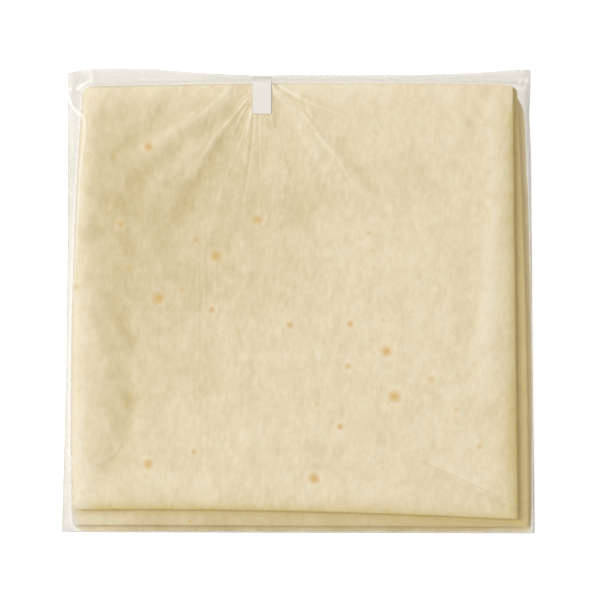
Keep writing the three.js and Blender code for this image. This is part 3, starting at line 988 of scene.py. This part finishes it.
def dough_material(name, spots, base_damp_and_shade, rim_colour, line=None):
    """Dough: pale cream with cloudy, slightly fibrous mottling, damper and paler in places, with painted
    shade and painted highlights mixed into the same values, yellower at its open edges, partly its own tone
    and partly painted shade and light, with painted shade in its grooves and along the fold line when one
    is given, a painted glow of bounce light in the gap under the next bundle, and toasted in spots with a
    pale ring."""
    shader = Shader(name, Roughness=0.55)
    fibres = shader.noise(3.6, 3.0, (1, 0.66, 1), 0.55, 0.6)
    clouds = shader.noise(13, 3.0, (1, 0.75, 1), 0.55, 0.8)
    strands = shader.noise(1.7, 2.0, (1, 0.16, 1))
    mottling = (fibres - 0.5) * 0.54 + (clouds - 0.5) * 0.52 + (strands - 0.5) * 0.24
    damp_and_shading = shader.painted("damp_and_shading") * 0.31 + mottling + base_damp_and_shade
    sockets = {0: shader.place, 1: (1, 1, 0)}
    flat_place = shader.node("ShaderNodeVectorMath", {"operation": "MULTIPLY"}, sockets)
    ragged = (shader.noise(2.5) - 0.5) * (2.0 * MM)
    core, ring = 0.0, 0.0
    for x, y, radius, depth in spots:
        sockets = {0: flat_place, 1: (x * MM, y * MM, 0)}
        away = shader.node("ShaderNodeVectorMath", {"operation": "DISTANCE"}, sockets, "Value") + ragged
        in_core = shader.step(away, 1.65 * radius * MM, -0.1 * radius * MM) * depth
        in_ring = shader.step(away, 2.6 * radius * MM, 1.1 * radius * MM) * depth
        core = shader.math("MAXIMUM", core, in_core)
        ring = shader.math("MAXIMUM", ring, in_ring)
    if spots:
        damp_and_shading = damp_and_shading - ring * 0.12
    # The fold line is a fine line of painted shade.
    if line:
        damp_and_shading = damp_and_shading + shader.line(*line, FOLD_LINE_WIDTH) * FOLD_LINE_SHADE
    # Darker where damper and where shade is painted, paler where floury and where highlights are painted.
    colour = shader.mix(damp_and_shading, PALE_DOUGH, DAMP_AND_SHADED_DOUGH)
    colour = shader.mix(damp_and_shading * -1.6, colour, FLOURY_AND_HIGHLIT_DOUGH)
    # Yellower at the open edges: partly the dough's own tone, partly painted shade and light.
    rim = shader.painted("rim") * (0.85 + mottling * 0.8) * (1 - shader.painted("wall") * 0.6)
    colour = shader.mix(rim, colour, rim_colour)
    # A painted glow of bounce light in the gap under the next bundle.
    colour = shader.mix(shader.painted("bounce_glow"), colour, BOUNCE_LIT_DOUGH)
    # Painted shade in the grooves between the leaves.
    colour = shader.mix(shader.painted("groove") * 0.7, colour, GROOVE_SHADE_DOUGH)
    if spots:
        colour = shader.mix(core * 0.95, colour, TOAST)
    relief = fibres * 0.6 + shader.noise(1.1, 2.0, (1, 0.6, 1)) * 0.4
    shader.feed({"Base Color": colour, "Normal": shader.bump(relief, 0.5, 0.2)})
    return shader.material


CLEAR_FILM = (0.57, 0.54, 0.475, 1)
# The colour of the film's painted highlights.
HIGHLIGHT_FILM = (1, 0.98, 0.92, 1)


def film_material():
    """Clear film: glossy, faintly grey where it is hazy, and whitened by painted highlights along its
    creases, its folds and its front left corner.
    """
    shader = Shader("clear_film", Roughness=0.4, IOR=1.4)
    streaks = shader.noise(5, 3.0, (1, 0.25, 0.1), 0.6)
    glint = shader.painted("glint")
    facing = shader.node("ShaderNodeLayerWeight", {}, {"Blend": 0.5}, "Facing")
    gloss = shader.math("POWER", facing, 5) * 0.5 + 0.015
    alpha = shader.painted("haze") * (0.96 + streaks * 0.08) + gloss
    # Painted highlights whiten the film.
    colour = shader.mix(glint * 1.6, CLEAR_FILM, HIGHLIGHT_FILM)
    wrinkles = shader.noise(2.4, 3.0, (1, 0.6, 0.1))
    shader.feed({"Base Color": colour, "Alpha": alpha, "Normal": shader.bump(wrinkles, 0.08, 0.2)})
    return shader.material


def tape_material():
    """White satin tape with a faint lengthwise grain, greyer with painted shade where it has left the dough.
    """
    shader = Shader("white_tape", Roughness=0.55, Specular_IOR_Level=0.25)
    grain = shader.noise(0.8, 2.0, (1, 0.15, 1))
    colour = shader.mix(grain * 0.5, (0.81, 0.78, 0.72, 1), (0.75, 0.72, 0.66, 1))
    # Painted shade where the tape has left the dough.
    colour = shader.mix(shader.painted("free") * 0.7, colour, (0.6, 0.57, 0.52, 1))
    shader.feed({"Base Color": colour, "Normal": shader.bump(grain, 0.2, 0.08)})
    return shader.material


# Assembly

def add_piece(piece, material, node):
    """Dresses a piece and puts it in the place of its node."""
    piece.data.materials.append(material)
    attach(piece, "root")
    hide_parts(node)


BUNDLE_GAP = 0.05
# The lower bundles' base darkness is painted shade; the top bundle's is its own tone.
LOWER_SHADE = 0.5
TOP_DAMP = 0.14


def build_bundles():
    """The three bundles, from the bottom to the top."""
    low_top = terrace(BUNDLE_HEIGHT, LOW, 31, bend=0.3)
    middle_top = terrace(2 * BUNDLE_HEIGHT, MIDDLE, 21, bend=0.65)
    low = bundle("low_bundle", LOW, low_underside, low_top, 1300)
    middle = bundle("middle_bundle", MIDDLE, flat(BUNDLE_HEIGHT + BUNDLE_GAP), middle_top, 900)
    top = bundle("top_bundle", TOP, flat(2 * BUNDLE_HEIGHT + BUNDLE_GAP), top_dough, 500, True)
    paint_lower_dough(low, LOW, 16, MIDDLE, gap_shadow=0.1, glow=0.5, front_rim=0.0)
    paint_lower_dough(middle, MIDDLE, 18, TOP, gap_shadow=0.85, glow=0.8, front_rim=1.0)
    paint_top_dough(top, TOP, 3.4)
    low_material = dough_material("low_dough", [], LOWER_SHADE, LOW_RIM_DOUGH)
    middle_material = dough_material("middle_dough", FRONT_BAND_SPOTS, LOWER_SHADE, MIDDLE_RIM_DOUGH)
    top_material = dough_material("top_dough", SPOTS, TOP_DAMP, TOP_RIM_DOUGH, FOLD_LINE)
    for piece, material in ((low, low_material), (middle, middle_material), (top, top_material)):
        add_piece(piece, material, "bag")


build_bundles()
add_piece(film_bag(), film_material(), "bag")
add_piece(tape_strip(), tape_material(), "tape")


# Floor, light and camera

KEY_AZIMUTH = 162
KEY_ELEVATION = 50
KEY_DISTANCE = 8.0
KEY_SIZE = 4.2
KEY_POWER = 375
SKY_STRENGTH = 0.6
FLOOR_SIZE = 8.0
FLOOR_GAP = 0.4
FRAME_WIDTH = 381.0
FRAME_CENTRE = (0.8, -0.1)
LENS = 250.0
SENSOR = 36.0


def build_floor():
    """A wide pale floor, just below the pack."""
    bpy.ops.mesh.primitive_plane_add(size=FLOOR_SIZE, location=(0, 0, -FLOOR_GAP * MM))
    floor = bpy.context.object
    floor.name = "floor"
    shader = Shader("pale_floor", Base_Color=(0.9, 0.9, 0.9, 1), Roughness=0.9)
    shader.feed({"Specular IOR Level": 0, "Emission Color": (1, 1, 1, 1), "Emission Strength": 0.5})
    floor.data.materials.append(shader.material)


def build_light():
    """A large soft light from the upper left, and an even white sky."""
    azimuth, elevation = math.radians(KEY_AZIMUTH), math.radians(KEY_ELEVATION)
    level = math.cos(elevation)
    place = Vector((level * math.cos(azimuth), level * math.sin(azimuth), math.sin(elevation))) * KEY_DISTANCE
    light = bpy.data.lights.new("key_light", "AREA")
    light.size = KEY_SIZE
    light.energy = KEY_POWER
    light.color = (1, 0.99, 0.97)
    lamp = bpy.data.objects.new("key_light", light)
    lamp.location = place
    lamp.rotation_euler = (-place).to_track_quat("-Z", "Y").to_euler()
    bpy.context.scene.collection.objects.link(lamp)
    world = bpy.data.worlds.new("studio")
    world.use_nodes = True
    sky = world.node_tree.nodes["Background"]
    sky.inputs["Color"].default_value = (1, 1, 1, 1)
    sky.inputs["Strength"].default_value = SKY_STRENGTH
    bpy.context.scene.world = world


def build_camera():
    """A long lens straight above, turned so that +Y is up in the picture."""
    lens = bpy.data.cameras.new("camera")
    lens.lens = LENS
    lens.sensor_width = SENSOR
    lens.clip_end = 50
    camera = bpy.data.objects.new("camera", lens)
    height = LENS / SENSOR * FRAME_WIDTH + STACK_HEIGHT / 2
    camera.location = Vector((*FRAME_CENTRE, height)) * MM
    bpy.context.scene.collection.objects.link(camera)
    bpy.context.scene.camera = camera


build_floor()
build_light()
build_camera()
bpy.context.scene.view_settings.view_transform = "Standard"
